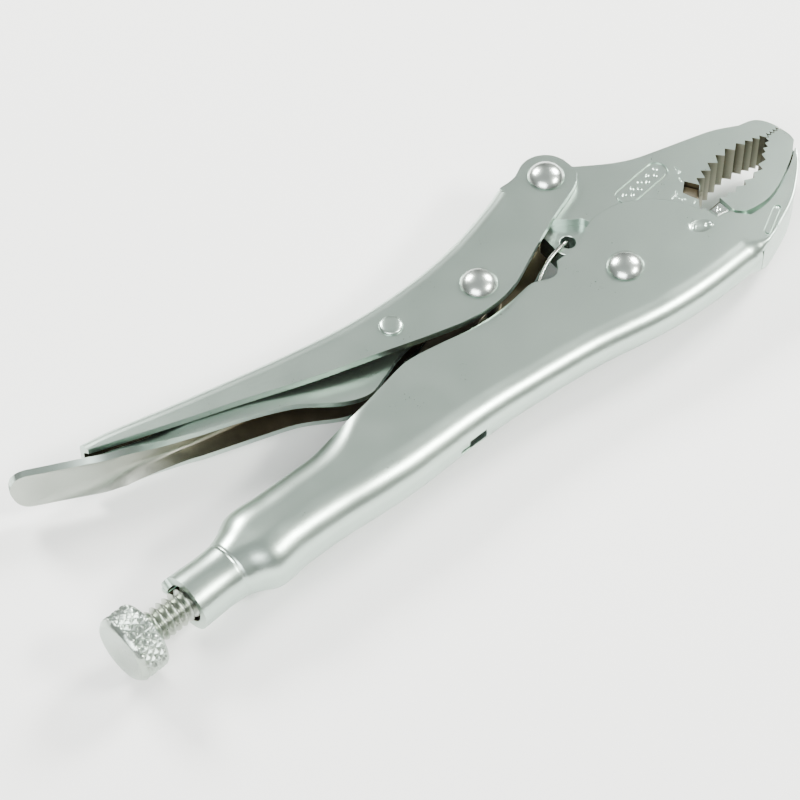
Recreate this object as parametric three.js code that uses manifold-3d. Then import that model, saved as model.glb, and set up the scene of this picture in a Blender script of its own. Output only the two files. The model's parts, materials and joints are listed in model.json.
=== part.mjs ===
// Curved-jaw locking pliers with a wire cutter, lying on one side.
// Millimetres. While the pieces are drawn, the origin is on the main pivot, +X runs along the
// adjusting screw towards the jaws, +Y towards the movable handle and Z across the tool.
// At the end the whole group is moved so that its box stands centred on the origin.
import * as THREE from 'three';
import { mergeVertices } from 'three/addons/utils/BufferGeometryUtils.js';
import Module from 'manifold-3d';

const wasm = await Module();
wasm.setup();

// ---- driving dimensions ----
const jawThickness = 12.7;
const frameSheet = 2.4;
const leverSheet = 2.2;
const releaseSheet = 1.8;
const sideClearance = 0.3;      // between plates that slide on each other
const seatClearance = 0.3;      // around what is fixed in its seat
const holeClearance = 0.3;      // around a rivet shank

const handlePivot = [5.6, 36.5];
const linkPivot = [-34.8, 21.8];
const releasePivot = [-62.3, 27.3];
const linkFoot = [-96, 2.7];
const screwAxisY = 2.7;

const pivotShankRadius = 3.6;
const rivetShankRadius = 3.2;
const releaseShankRadius = 2.0;
const rivetHeadRadius = 5.15;
const rivetHeadHeight = 2.8;
const releaseHeadRadius = 3.25;
const releaseHeadHeight = 0.9;

const neckBack = -156.8;
const neckFront = -143;
const screwRadius = 4.65;
const screwPlay = 0.95;         // between the screw and the neck that it runs in
const neckRadius = screwRadius + screwPlay + frameSheet;
const screwFront = -110;
const tipRadius = 3.8;
const tipFootGap = 3.2;         // room for the open end of the toggle
const knobRadius = 9.4;
const knobFaceRadius = 8.2;
const knobLength = 8.9;
const exposedThread = 12.9;

const linkBossRadius = 6.4;
const linkFootRadius = 4.5;

const springHole = [-3.7, 18.3];
const springHoleRadius = 2.15;
const springRadius = 2.6;
const springAnchor = [-66, frameSheet - 9.4];

const mouthBack = [29.6, 0];    // corner where both jaws meet behind the mouth
const mouthFront = [68.3, 5.4]; // tip of the jaws
const coarsePitch = 3.35;
const coarseDepth = 1.9;
const finePitch = 1.15;
const fineDepth = 0.6;
const mouthGap = 0.3;

const jawHalf = jawThickness / 2;
const tailThickness = jawThickness - 2 * (frameSheet + sideClearance);
const frameInner = jawHalf - frameSheet;
const leverInner = jawHalf + sideClearance;
const leverOuter = leverInner + leverSheet;
const releaseHalf = leverInner - 0.45;
const releaseNose = frameInner - 0.45;      // the narrow front, between the frame's cheeks
const linkThickness = 2 * frameInner - 3 * sideClearance;
const tailRadius = 12.5;

// ---- finishes ----
const finish = (color, roughness) => new THREE.MeshStandardMaterial({ color, roughness, metalness: 1 });
const satinNickel = finish(0xa9b0aa, 0.38);
const brightNickel = finish(0xc4c8c2, 0.22);
const darkNickel = finish(0x8d938c, 0.42);

// ---- solids ----
function toSolid(geometry) {
  const bare = geometry.clone();
  bare.deleteAttribute('normal');
  bare.deleteAttribute('uv');
  const merged = mergeVertices(bare, 1e-4);
  const vertProperties = new Float32Array(merged.attributes.position.array);
  const triVerts = new Uint32Array(merged.index.array);
  return new wasm.Manifold(new wasm.Mesh({ numProp: 3, vertProperties, triVerts }));
}

function toMesh(name, solid, material) {
  const { vertProperties, triVerts } = solid.getMesh();
  const geometry = new THREE.BufferGeometry();
  geometry.setAttribute('position', new THREE.BufferAttribute(new Float32Array(vertProperties), 3));
  geometry.setIndex(new THREE.BufferAttribute(new Uint32Array(triVerts), 1));
  geometry.computeVertexNormals();
  const mesh = new THREE.Mesh(geometry, material);
  mesh.name = name;
  return mesh;
}

const polygon = (points) => new THREE.Shape(points.map(([x, y]) => new THREE.Vector2(x, y)));

// a flat plate of the given outline, between two heights
function plate(shape, low, high, curveSegments = 10) {
  const geometry = new THREE.ExtrudeGeometry(shape, { depth: high - low, bevelEnabled: false, curveSegments });
  geometry.translate(0, 0, low);
  return toSolid(geometry);
}

const slab = (shape, thickness, curveSegments) => plate(shape, -thickness / 2, thickness / 2, curveSegments);

function disc([x, y], radius, low, high, segments = 32) {
  const geometry = new THREE.CylinderGeometry(radius, radius, high - low, segments);
  geometry.rotateX(Math.PI / 2);
  geometry.translate(x, y, (low + high) / 2);
  return toSolid(geometry);
}

const through = (centre, radius, segments) => disc(centre, radius, -20, 20, segments);

function block(low, high) {
  const size = high.map((value, i) => value - low[i]);
  const geometry = new THREE.BoxGeometry(...size);
  geometry.translate(...high.map((value, i) => (value + low[i]) / 2));
  return toSolid(geometry);
}

// a body turned about the screw's axis; the profile is [radius, x] from the back to the front
function turned(profile, segments = 32) {
  const geometry = new THREE.LatheGeometry(profile.map(([r, x]) => new THREE.Vector2(r, x)), segments);
  geometry.rotateZ(-Math.PI / 2);
  geometry.translate(0, screwAxisY, 0);
  return toSolid(geometry);
}

const polar = ([x, y], radius, degrees) => [
  x + radius * Math.cos(THREE.MathUtils.degToRad(degrees)),
  y + radius * Math.sin(THREE.MathUtils.degToRad(degrees)),
];

function arc(centre, radius, from, to, steps) {
  return Array.from({ length: steps + 1 }, (_, i) => polar(centre, radius, from + ((to - from) * i) / steps));
}

function smoothThrough(points, steps) {
  const curve = new THREE.SplineCurve(points.map(([x, y]) => new THREE.Vector2(x, y)));
  return curve.getPoints(steps).map(({ x, y }) => [x, y]);
}

// ---- pressed channels ----
// Each station is [x, spine, rim, halfWidth, corner, curl]: the outer height of the spine and of
// the rims, the outer half width, the outer bend radius, and how far the rims curl inwards in degrees.
function stationsBetween(keys, steps) {
  const size = keys[0].length - 1;
  const at = new THREE.CubicInterpolant(keys.map((key) => key[0]), keys.flatMap((key) => key.slice(1)), size);
  const rows = [];
  for (let k = 0; k < keys.length - 1; k++) {
    for (let i = 0; i < steps; i++) {
      const x = keys[k][0] + ((keys[k + 1][0] - keys[k][0]) * i) / steps;
      rows.push([x, ...at.evaluate(x)]);
    }
  }
  rows.push(keys[keys.length - 1]);
  return rows;
}

function channelRing([x, spine, rim, halfWidth, corner, curl], sheet, bendSteps) {
  const up = Math.sign(rim - spine);
  const bend = corner - sheet / 2;
  const turn = THREE.MathUtils.degToRad(curl);
  const curlRadius = halfWidth - sheet / 2;
  const curlHeight = Math.abs(rim - spine) - halfWidth * Math.sin(turn);
  const middle = [];
  for (let i = 0; i <= bendSteps; i++) {
    const angle = (Math.PI / 2) * (i / bendSteps);
    const across = halfWidth - corner + bend * Math.sin(angle);
    middle.push({ z: across, y: corner - bend * Math.cos(angle), nz: Math.sin(angle), ny: -Math.cos(angle) });
  }
  for (let i = 0; i <= bendSteps; i++) {
    const angle = turn * (i / bendSteps);
    const across = curlRadius * Math.cos(angle) + halfWidth - sheet / 2 - curlRadius;
    middle.push({ z: across, y: curlHeight + curlRadius * Math.sin(angle), nz: Math.cos(angle), ny: Math.sin(angle) });
  }
  const side = (offset, mirror) => middle.map(({ z, y, nz, ny }) => new THREE.Vector3(
    x, spine + up * (y + (offset * ny * sheet) / 2), mirror * (z + (offset * nz * sheet) / 2)));
  return [
    ...side(1, 1), ...side(-1, 1).reverse(), ...side(-1, -1), ...side(1, -1).reverse(),
  ];
}

function loft(rings) {
  const count = rings[0].length;
  const positions = rings.flatMap((ring) => ring.flatMap((point) => point.toArray()));
  const index = [];
  for (let r = 0; r < rings.length - 1; r++) {
    for (let i = 0; i < count; i++) {
      const a = r * count + i;
      const b = r * count + ((i + 1) % count);
      index.push(a, b, a + count, b, b + count, a + count);
    }
  }
  for (const r of [0, rings.length - 1]) {
    const flat = rings[r].map((point) => new THREE.Vector2(point.z, point.y));
    for (const [a, b, c] of THREE.ShapeUtils.triangulateShape(flat, [])) {
      const turned = THREE.ShapeUtils.isClockWise(flat) === (r === 0);
      index.push(...(turned ? [a, b, c] : [a, c, b]).map((i) => i + r * count));
    }
  }
  const geometry = new THREE.BufferGeometry();
  geometry.setAttribute('position', new THREE.Float32BufferAttribute(positions, 3));
  geometry.setIndex(index);
  const solid = toSolid(geometry);
  if (solid.volume() > 0) return solid;
  geometry.setIndex(index.reverse());
  return toSolid(geometry);
}

function channel(keys, sheet, { bendSteps = 5, steps = 2 } = {}) {
  return loft(stationsBetween(keys, steps).map((row) => channelRing(row, sheet, bendSteps)));
}

// ---- the line between the frame's cheeks and the thick part of the movable jaw ----
// It winds inwards round the main pivot, so that the jaw only moves away from it as it opens.
const windStart = Math.hypot(...mouthBack);
const windEnd = 18.2;
const windAngle = 77;
function windLine(offset) {
  const steps = 12;
  return Array.from({ length: steps + 1 }, (_, i) => {
    const radius = windStart + ((windEnd - windStart) * i) / steps + offset;
    return polar([0, 0], radius, (windAngle * i) / steps);
  });
}

// ---- teeth: a curve of tooth tips, with a valley between each two ----
function teeth(tips, pitch, depth, side) {
  const curve = new THREE.SplineCurve(tips.map(([x, y]) => new THREE.Vector2(x, y)));
  const count = Math.round(curve.getLength() / pitch);
  const points = [];
  for (let i = 0; i <= count; i++) {
    points.push(curve.getPointAt(i / count).toArray());
    if (i < count) {
      const at = (i + 0.5) / count;
      const { x, y } = curve.getPointAt(at);
      const tangent = curve.getTangentAt(at);
      points.push([x - side * tangent.y * depth, y + side * tangent.x * depth]);
    }
  }
  return points;
}

const upperTips = [[35.9, 5.9], [42.3, 7.8], [49.2, 8.8], [55.8, 8.4], [61.4, 7.0]];
const lowerTips = [[36.9, -0.9], [43.2, -1.2], [50.2, -0.8], [54.2, 0.6], [58.2, 3.1], [62.6, 4.9]];
const fineStart = [62.6, 5.9];
const fineLine = (offset) => teeth([fineStart, mouthFront], finePitch, fineDepth, -1)
  .map(([x, y]) => [x, y + offset]);

// ---- cutter ----
const cutterSize = 4.6;
const cutterDepth = 1.6;
const fixedCutterCorner = [36.5, -1.2];
const fixedCutterTurn = -101;
const movableCutterCorner = [34.9, 6.2];
const movableCutterTurn = -128;
function cutterSquare(corner, degrees, grow) {
  const along = polar([0, 0], 1, degrees);
  const across = polar([0, 0], 1, degrees - 90);
  const at = (s, t) => [0, 1].map((i) => corner[i] + along[i] * s + across[i] * t);
  const end = cutterSize + grow;
  return polygon([at(-grow, -grow), at(end, -grow), at(end, end), at(-grow, end)]);
}

function fixedCutter() {
  return slab(cutterSquare(fixedCutterCorner, fixedCutterTurn, 0), jawThickness - 2 * 0.6);
}

function movableCutter() {
  return slab(cutterSquare(movableCutterCorner, movableCutterTurn, 0), jawThickness - 2 * cutterDepth);
}

// ---- movable jaw ----
const jawBack = [[68.2, 6.6], [67.4, 9.4], [65.8, 11.9], [63.6, 13.2], [60.4, 14.0]];
const jawTop = [[60.4, 14.0], [53.9, 17.7], [46, 20.4], [38.3, 22.8], [29, 26.0], [22.2, 30.0], [15.4, 35.2]];
const earRadius = 7.0;

function movableJaw() {
  const thick = polygon([
    ...fineLine(mouthGap).reverse(),
    ...teeth(upperTips, coarsePitch, coarseDepth, 1).reverse(),
    ...windLine(seatClearance),
    [3.0, 19.2], [-2.2, 25.2], [-5.0, 29.0],
    ...arc(handlePivot, earRadius, 190, 60, 10),
    ...smoothThrough(jawTop, 18).reverse(),
    ...smoothThrough(jawBack, 6).reverse().slice(1),
  ]);
  const reach = windStart - 1;
  const thin = polygon([
    [reach, 0.6], [20, 16], [4, 26], [-3.5, 30], [-7.6, 25],
    ...arc(springHole, 4.6, 160, 215, 4),
    ...arc([0, 0], tailRadius, 150, 345, 18),
    [20, -2.2],
  ]);
  let solid = slab(thick, jawThickness).add(slab(thin, tailThickness));
  solid = solid.subtract(through([0, 0], pivotShankRadius + holeClearance, 32));
  solid = solid.subtract(through(handlePivot, rivetShankRadius + holeClearance, 32));
  solid = solid.subtract(through(springHole, springHoleRadius, 20));
  return solid.subtract(slab(cutterSquare(movableCutterCorner, movableCutterTurn, seatClearance), 30));
}

// ---- fixed jaw: thick above the shoulder line, thinned between the frame's cheeks below it ----
const shoulder = [[36.4, -6.6], [39.1, -9.2], [45, -10.2], [50.7, -9.3], [57, -6.9], [63, -3.9], [67.9, -0.4]];
const shoulderGap = [[35.6, -7.4], [38.6, -11.0], [45.2, -11.3], [51, -10.0], [57.2, -7.4], [62, -5.0],
  [65.8, -2.6]];
const frontEdge = [[68.5, 3.0], [67.9, -0.4], [65.9, -3.4], [62.7, -6.9], [58, -10.6], [51.2, -15.0],
  [43.2, -18.3], [37.1, -20.4]];
const spineFront = 32.5;

function fixedJaw() {
  const thick = polygon([
    mouthFront,
    ...smoothThrough(frontEdge.slice(0, 2), 2),
    ...smoothThrough(shoulder, 16).reverse(),
    ...teeth(lowerTips, coarsePitch, coarseDepth * 0.8, -1),
    ...fineLine(0),
  ]);
  const front = smoothThrough(frontEdge, 20).slice(2).map(([x, y]) => [x - 0.4, y + 0.3]);
  const thin = polygon([
    [66.8, 1.0], ...front, [34, -18.6], [32.6, -14.8], [20, -14.8],
    ...arc([0, 0], tailRadius + 1.2, 295, 345, 6),
    [20.4, -3.6], [29.2, -2.2], [34.4, -4.6], [44, -5.0], [54, -2.0],
  ]);
  const thinWeb = frameInner * 2 - 2 * sideClearance;
  const whole = slab(thick, jawThickness).add(slab(thin, thinWeb));
  return whole.subtract(slab(cutterSquare(fixedCutterCorner, fixedCutterTurn, seatClearance), 30));
}

// ---- fixed handle ----
// the channel is as wide as the jaws in front and widens evenly to the round tube behind
const neckKey = (x, grow) => [x, screwAxisY - neckRadius - grow, screwAxisY + neckRadius + grow];
const tubeKey = (x, spine, rim, wider, curl) => [x, spine, rim, jawHalf + wider, jawHalf + wider, curl];
const frameKeys = [
  [...neckKey(neckBack, 0), neckRadius, neckRadius, 87],
  [...neckKey(neckFront, 0), neckRadius, neckRadius, 87],
  [...neckKey(-139.5, 0.9), neckRadius + 0.4, neckRadius + 0.4, 87],
  tubeKey(-134, -8.9, 14.2, 3.05, 87),
  tubeKey(-124, -8.6, 13.9, 3.05, 87),
  tubeKey(-110, -9.2, 13.4, 2.65, 84),
  tubeKey(-99, -10.4, 12.5, 2.45, 52),
  tubeKey(-88, -11.2, 12.9, 2.05, 14),
  tubeKey(-78, -11.3, 14.6, 1.65, 9),
  tubeKey(-67, -11.3, 16.4, 1.25, 8),
  tubeKey(-56, -11.7, 14.9, 0.85, 8),
  tubeKey(-46, -12.6, 12.9, 0.55, 8),
  tubeKey(-36, -13.7, 12.2, 0.35, 8),
  tubeKey(-24, -15.3, 13.3, 0.15, 8),
  tubeKey(-12.6, -17.7, 14.2, 0.05, 8),
  tubeKey(-8, -18.7, 32, 0, 8),
  tubeKey(2, -20.4, 32, 0, 8),
  tubeKey(14, -21.4, 32, 0, 8),
  tubeKey(spineFront + 2, -21.6, 32, 0, 8),
  tubeKey(mouthFront[0] + 1, -21.6, 32, 0, 8),
];

function fixedHandle() {
  const wind = windLine(0).reverse();
  const side = polygon([
    [-200, 60], [-12.4, 60], [-12.4, 14.1], [-6.5, 13.9], [-2.5, 14.8], [1.2, 16.7],
    ...wind,
    [33.2, -2.7], [36.2, -4.2],
    ...smoothThrough(shoulderGap, 18),
    ...smoothThrough(frontEdge.slice(2), 16),
    [spineFront + 0.5, -21.4], [spineFront, -40], [-200, -40],
  ]);
  let solid = channel(frameKeys, frameSheet).intersect(slab(side, 60));
  solid = solid.subtract(through([0, 0], pivotShankRadius + holeClearance, 32));
  solid = solid.subtract(slab(cutterSquare(fixedCutterCorner, fixedCutterTurn, seatClearance), 30));
  solid = solid.subtract(block([spineFront, -40, -frameInner], [mouthFront[0] + 5, 40, frameInner]));
  const slotAt = springAnchor[0];
  return solid.subtract(block([slotAt - 6, -20, -1.6], [slotAt + 2.5, springAnchor[1] - 1, 1.6]));
}

// ---- movable handle ----
const webFront = -7;
const handleEarRadius = 7.9;
const handleKeys = [
  [-147.6, 55.2, 51.4, leverOuter, 3.2, 3],
  [-140, 54.0, 48.4, leverOuter, 3.6, 3],
  [-124, 49.9, 42.2, leverOuter, 4, 3],
  [-106, 45.3, 35.5, leverOuter, 4, 3],
  [-88, 41.0, 28.5, leverOuter, 4, 3],
  [-70, 37.6, 22.5, leverOuter, 4, 3],
  [-56, 36.4, 17.7, leverOuter, 4, 3],
  [-45, 36.3, 14.6, leverOuter, 4, 3],
  [-36, 36.9, 13.8, leverOuter, 4, 3],
  [-28, 38.0, 14.9, leverOuter, 4, 3],
  [-18, 40.2, 18.8, leverOuter, 4, 3],
  [webFront, 43.4, 23.2, leverOuter, 4, 3],
  [4, 49, 26.8, leverOuter, 4, 3],
  [16, 52, 30, leverOuter, 4, 3],
];

function movableHandle() {
  const side = polygon([
    [-160, 70], [webFront - 0.2, 70], [webFront, 42.4],
    ...smoothThrough([[webFront, 42.2], [-3, 42.0], polar(handlePivot, handleEarRadius, 125)], 5),
    ...arc(handlePivot, handleEarRadius, 120, -20, 14),
    [11.4, 29.8], [8, 28.0], [8, 0], [-160, 0],
  ]);
  let solid = channel(handleKeys, leverSheet, { bendSteps: 4 }).intersect(slab(side, 60));
  solid = solid.subtract(block([webFront, 0, -leverInner], [30, 70, leverInner]));
  solid = solid.subtract(through(handlePivot, rivetShankRadius + holeClearance, 32));
  solid = solid.subtract(through(linkPivot, rivetShankRadius + holeClearance, 32));
  return solid.subtract(through(releasePivot, releaseShankRadius + holeClearance, 24));
}

// ---- release lever ----
const releaseKey = (x, spine, rim, half) => [x, spine, rim, half, Math.min(2.8, half), 3];
const releaseKeys = [
  [-141.5, 50.2, 46.4, releaseHalf - 0.1, 2.6, 3],
  releaseKey(-130, 46.5, 41.3, releaseHalf),
  releaseKey(-118, 43.4, 36.8, releaseHalf),
  releaseKey(-106, 40.3, 32.0, releaseHalf - 0.2),
  releaseKey(-96, 38.0, 27.0, releaseHalf - 1),
  releaseKey(-86, 35.9, 19.6, releaseNose + 0.7),
  releaseKey(-79, 34.6, 17.3, releaseNose + 0.2),
  releaseKey(-72, 33.4, 19.2, releaseNose),
  releaseKey(-64, 32.2, 21.6, releaseNose),
  releaseKey(-56, 30.9, 22.6, releaseNose),
  releaseKey(-52, 30.2, 23.4, releaseNose),
];
const paddleLine = [[-139.5, 48.3], [-146, 49.9], [-154, 53.9], [-161.5, 57.6], [-167, 61.0]];
const paddleHalf = 7.4;

function paddle() {
  const middle = smoothThrough(paddleLine, 12);
  const rings = middle.map(([x, y], i) => {
    const before = middle[Math.max(i - 1, 0)];
    const after = middle[Math.min(i + 1, middle.length - 1)];
    const slope = Math.atan2(after[1] - before[1], after[0] - before[0]) + Math.PI;
    const s = i / (middle.length - 1);
    const round = s > 0.75 ? Math.sqrt(1 - ((s - 0.75) / 0.27) ** 2) : 1;
    const half = THREE.MathUtils.lerp(releaseHalf - 0.3, paddleHalf, THREE.MathUtils.smoothstep(-x, 147, 153)) * round;
    const across = [-1, -0.6, 0, 0.6, 1];
    const dish = 0.9 * Math.sin(Math.PI * s);
    const at = (t, lift) => new THREE.Vector3(
      x - Math.sin(slope) * (lift - dish * t * t), y + Math.cos(slope) * (lift - dish * t * t) * -1, half * t);
    return [...across.map((t) => at(t, releaseSheet / 2)), ...across.reverse().map((t) => at(t, -releaseSheet / 2))];
  });
  return loft(rings);
}

function releaseLever() {
  const body = channel(releaseKeys, releaseSheet, { bendSteps: 3 });
  const bored = body.subtract(through(releasePivot, releaseShankRadius + holeClearance, 24));
  return bored.add(paddle());
}

// ---- toggle link ----
function toggleLink() {
  const direction = Math.atan2(linkFoot[1] - linkPivot[1], linkFoot[0] - linkPivot[0]);
  const degrees = THREE.MathUtils.radToDeg(direction);
  const bar = polygon([
    ...arc(linkPivot, linkBossRadius, degrees - 128, degrees - 232, 12),
    ...arc(linkFoot, linkFootRadius, degrees + 90, degrees - 90, 12),
  ]);
  const boss = disc(linkPivot, linkBossRadius, -leverInner + sideClearance, leverInner - sideClearance);
  return slab(bar, linkThickness).add(boss).subtract(through(linkPivot, rivetShankRadius + holeClearance, 32));
}

// ---- screw, tip and knob ----
const knobFront = neckBack - exposedThread;
const knobBack = knobFront - knobLength;
const tipFront = linkFoot[0] - linkFootRadius - tipFootGap;

function adjustingScrew() {
  return turned([[0, knobFront + seatClearance], [screwRadius, knobFront + seatClearance],
    [screwRadius, screwFront - 1], [screwRadius - 1, screwFront], [0, screwFront]]);
}

function screwTip() {
  const back = screwFront + seatClearance;
  return turned([[0, back], [tipRadius, back], [tipRadius, tipFront - 0.8], [tipRadius - 0.8, tipFront], [0, tipFront]]);
}

function knurledKnob() {
  return turned([[0, knobBack], [knobFaceRadius, knobBack], [knobRadius - 0.25, knobBack + 1.1],
    [knobRadius, knobBack + 1.7], [knobRadius, knobFront - 1.2], [knobRadius - 0.9, knobFront], [0, knobFront]], 48);
}

// ---- rivets ----
function rivet(centre, halfLength, shankRadius, headRadius, headHeight) {
  const profile = [[0, -halfLength - headHeight]];
  const rise = [20, 45, 70, 90];
  for (const degrees of rise) {
    const angle = THREE.MathUtils.degToRad(degrees);
    profile.push([headRadius * Math.sin(angle), -halfLength - headHeight * Math.cos(angle)]);
  }
  profile.push([shankRadius, -halfLength], [shankRadius, halfLength]);
  for (const degrees of [...rise].reverse()) {
    const angle = THREE.MathUtils.degToRad(degrees);
    profile.push([headRadius * Math.sin(angle), halfLength + headHeight * Math.cos(angle)]);
  }
  profile.push([0, halfLength + headHeight]);
  const geometry = new THREE.LatheGeometry(profile.map(([r, z]) => new THREE.Vector2(r, z)), 28);
  geometry.rotateX(Math.PI / 2);
  geometry.translate(centre[0], centre[1], 0);
  return toSolid(geometry);
}

const headGap = 0.2;
const domed = (centre, half, shank) => rivet(centre, half + headGap, shank, rivetHeadRadius, rivetHeadHeight);

// ---- spring: a plain bar of the coil's size, from the anchor in the spine to the jaw's tail ----
function jawSpring() {
  const [x0, y0] = springAnchor;
  const slope = Math.atan2(springHole[1] - y0, springHole[0] - x0);
  const length = 44;
  const geometry = new THREE.CylinderGeometry(springRadius, springRadius, length, 16);
  geometry.rotateZ(slope - Math.PI / 2);
  geometry.translate(x0 + (Math.cos(slope) * length) / 2, y0 + (Math.sin(slope) * length) / 2 + 1, 0);
  return toSolid(geometry);
}

// ---- assembly ----
const pliers = new THREE.Group();
pliers.add(
  toMesh('fixed_handle', fixedHandle(), satinNickel),
  toMesh('fixed_jaw', fixedJaw(), satinNickel),
  toMesh('fixed_cutter', fixedCutter(), brightNickel),
  toMesh('movable_jaw', movableJaw(), satinNickel),
  toMesh('movable_cutter', movableCutter(), darkNickel),
  toMesh('movable_handle', movableHandle(), satinNickel),
  toMesh('release_lever', releaseLever(), satinNickel),
  toMesh('toggle_link', toggleLink(), darkNickel),
  toMesh('adjusting_screw', adjustingScrew(), satinNickel),
  toMesh('screw_tip', screwTip(), satinNickel),
  toMesh('knurled_knob', knurledKnob(), brightNickel),
  toMesh('jaw_spring', jawSpring(), darkNickel),
  toMesh('main_pivot_rivet', domed([0, 0], jawHalf, pivotShankRadius), brightNickel),
  toMesh('handle_rivet', domed(handlePivot, leverOuter, rivetShankRadius), brightNickel),
  toMesh('link_rivet', domed(linkPivot, leverOuter, rivetShankRadius), brightNickel),
  toMesh('release_rivet', rivet(releasePivot, leverOuter + headGap, releaseShankRadius, releaseHeadRadius,
    releaseHeadHeight), brightNickel),
);

const box = new THREE.Box3().setFromObject(pliers);
const middle = box.getCenter(new THREE.Vector3());
pliers.position.set(-middle.x, -middle.y, -box.min.z);
pliers.updateMatrixWorld(true);

export default pliers;
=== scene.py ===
# Looks for the curved-jaw locking pliers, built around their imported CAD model.
# Sizes are drawing millimetres: x along the adjusting screw towards the jaws, y towards the
# movable handle, z across the tool, all from the main pivot.
import json
import math

import bmesh
import bpy
from mathutils import Matrix, Vector


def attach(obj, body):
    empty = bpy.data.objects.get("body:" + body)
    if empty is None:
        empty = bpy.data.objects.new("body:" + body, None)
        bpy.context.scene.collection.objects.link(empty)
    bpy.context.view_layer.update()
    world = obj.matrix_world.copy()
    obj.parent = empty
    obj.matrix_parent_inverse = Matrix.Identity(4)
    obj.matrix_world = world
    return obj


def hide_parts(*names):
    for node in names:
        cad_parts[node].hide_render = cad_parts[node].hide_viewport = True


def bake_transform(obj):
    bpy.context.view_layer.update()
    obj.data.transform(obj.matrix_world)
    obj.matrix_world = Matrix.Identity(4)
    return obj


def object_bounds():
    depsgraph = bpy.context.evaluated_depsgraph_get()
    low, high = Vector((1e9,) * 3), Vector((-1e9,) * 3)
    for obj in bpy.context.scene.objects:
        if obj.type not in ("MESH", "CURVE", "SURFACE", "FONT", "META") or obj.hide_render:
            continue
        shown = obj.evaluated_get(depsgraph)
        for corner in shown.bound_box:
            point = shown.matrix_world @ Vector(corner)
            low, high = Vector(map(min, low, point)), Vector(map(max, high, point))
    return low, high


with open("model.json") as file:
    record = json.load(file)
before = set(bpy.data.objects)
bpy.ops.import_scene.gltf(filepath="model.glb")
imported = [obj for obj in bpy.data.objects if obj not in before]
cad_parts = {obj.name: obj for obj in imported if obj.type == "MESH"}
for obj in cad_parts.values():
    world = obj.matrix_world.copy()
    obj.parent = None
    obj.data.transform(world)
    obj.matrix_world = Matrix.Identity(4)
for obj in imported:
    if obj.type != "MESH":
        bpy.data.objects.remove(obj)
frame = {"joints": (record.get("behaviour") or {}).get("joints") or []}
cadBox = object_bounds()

print("frame loaded")

mm = 0.001
seamGap = 0.000002              # metres; points nearer than this are one point
pivot = Vector(next(j for j in frame["joints"] if j["name"] == "jaw_pivot")["pos_m"])

# places and half widths that several pieces share
jawHalf = 6.35
handleHalf = 8.85
screwAxisY = 2.7
handlePin = (5.6, 36.5)
linkPin = (-34.8, 21.8)
releasePin = (-62.3, 27.3)
springHole = (-3.7, 18.3)
beyond = 20                     # how far a cutting shape reaches when it passes right through


def place(x, y, z):
    return pivot + Vector((x, y, z)) * mm


# ---- curves ----
def polar(centre, radius, degrees):
    angle = math.radians(degrees)
    return (centre[0] + radius * math.cos(angle), centre[1] + radius * math.sin(angle))


def arc(centre, radius, start, end, steps):
    return [polar(centre, radius, start + (end - start) * i / steps) for i in range(steps + 1)]


def smoothThrough(points, steps):
    curve = []
    for i in range(steps + 1):
        at = i / steps * (len(points) - 1)
        k = min(int(at), len(points) - 2)
        t = at - k
        p0, p1, p2, p3 = points[max(k - 1, 0)], points[k], points[k + 1], points[min(k + 2, len(points) - 1)]
        curve.append(tuple(
            b + t * ((c - a) / 2 + t * (a - 2.5 * b + 2 * c - d / 2 + t * (1.5 * (b - c) + (d - a) / 2)))
            for a, b, c, d in zip(p0, p1, p2, p3)))
    return curve


def heightAt(line, x):          # height of a line that only runs forwards
    for (x0, y0), (x1, y1) in zip(line, line[1:]):
        if x <= x1:
            return y0 + (y1 - y0) * max(0.0, (x - x0) / (x1 - x0))
    return line[-1][1]


def keyedRow(keys, x):          # smooth row of values between the keyed stations
    k = 1
    while k < len(keys) - 1 and x > keys[k][0]:
        k += 1
    x0, x1 = keys[k - 1][0], keys[k][0]
    before = keys[k - 2] if k > 1 else keys[k]
    after = keys[k + 1] if k < len(keys) - 1 else keys[k - 1]
    half = (x1 - x0) / 2
    wb, wa = half / (x0 - before[0]), half / (after[0] - x1)
    p = min(max((x - x0) / (x1 - x0), 0.0), 1.0)
    sb = p * wb * (-p * p + 2 * p - 1)
    s0 = (1 + wb) * p ** 3 - (1.5 + 2 * wb) * p * p + (wb - 0.5) * p + 1
    s1 = -(1 + wa) * p ** 3 + (1.5 + wa) * p * p + 0.5 * p
    sa = wa * (p ** 3 - p * p)
    return [sb * a + s0 * b + s1 * c + sa * d for a, b, c, d in zip(before, keys[k - 1], keys[k], after)][1:]


def evenly(start, end, step):
    count = max(1, round(abs(end - start) / step))
    return [start + (end - start) * i / count for i in range(count)]


# ---- modelling ----
def clearSelection():
    bpy.ops.object.select_all(action="DESELECT")


def activate(obj):
    clearSelection()
    obj.select_set(True)
    bpy.context.view_layer.objects.active = obj


def applyModifiers(obj):
    activate(obj)
    for modifier in list(obj.modifiers):
        bpy.ops.object.modifier_apply(modifier=modifier.name)


def choose(obj, kind, test):    # in edit mode, only the edges or faces that pass the test stay selected
    bpy.ops.mesh.select_mode(type=kind)
    bpy.ops.mesh.select_all(action="DESELECT")
    mesh = bmesh.from_edit_mesh(obj.data)
    for item in mesh.edges if kind == "EDGE" else mesh.faces:
        if test(item):
            item.select_set(True)
    bmesh.update_edit_mesh(obj.data)


def paintFaces(obj, slot, test):
    activate(obj)
    bpy.ops.object.mode_set(mode="EDIT")
    choose(obj, "FACE", test)
    obj.active_material_index = slot
    bpy.ops.object.material_slot_assign()
    bpy.ops.object.mode_set(mode="OBJECT")


def gridPiece(name, rows):      # a grid whose points are set down row by row
    clearSelection()
    bpy.ops.mesh.primitive_grid_add(x_subdivisions=len(rows[0]) - 1, y_subdivisions=len(rows) - 1, size=1,
                                    location=(0, 0, 0))
    obj = bpy.context.active_object
    obj.name = name
    obj.data.vertices.foreach_set("co", [c for row in rows for point in row for c in point])
    obj.data.update()
    return obj


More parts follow.
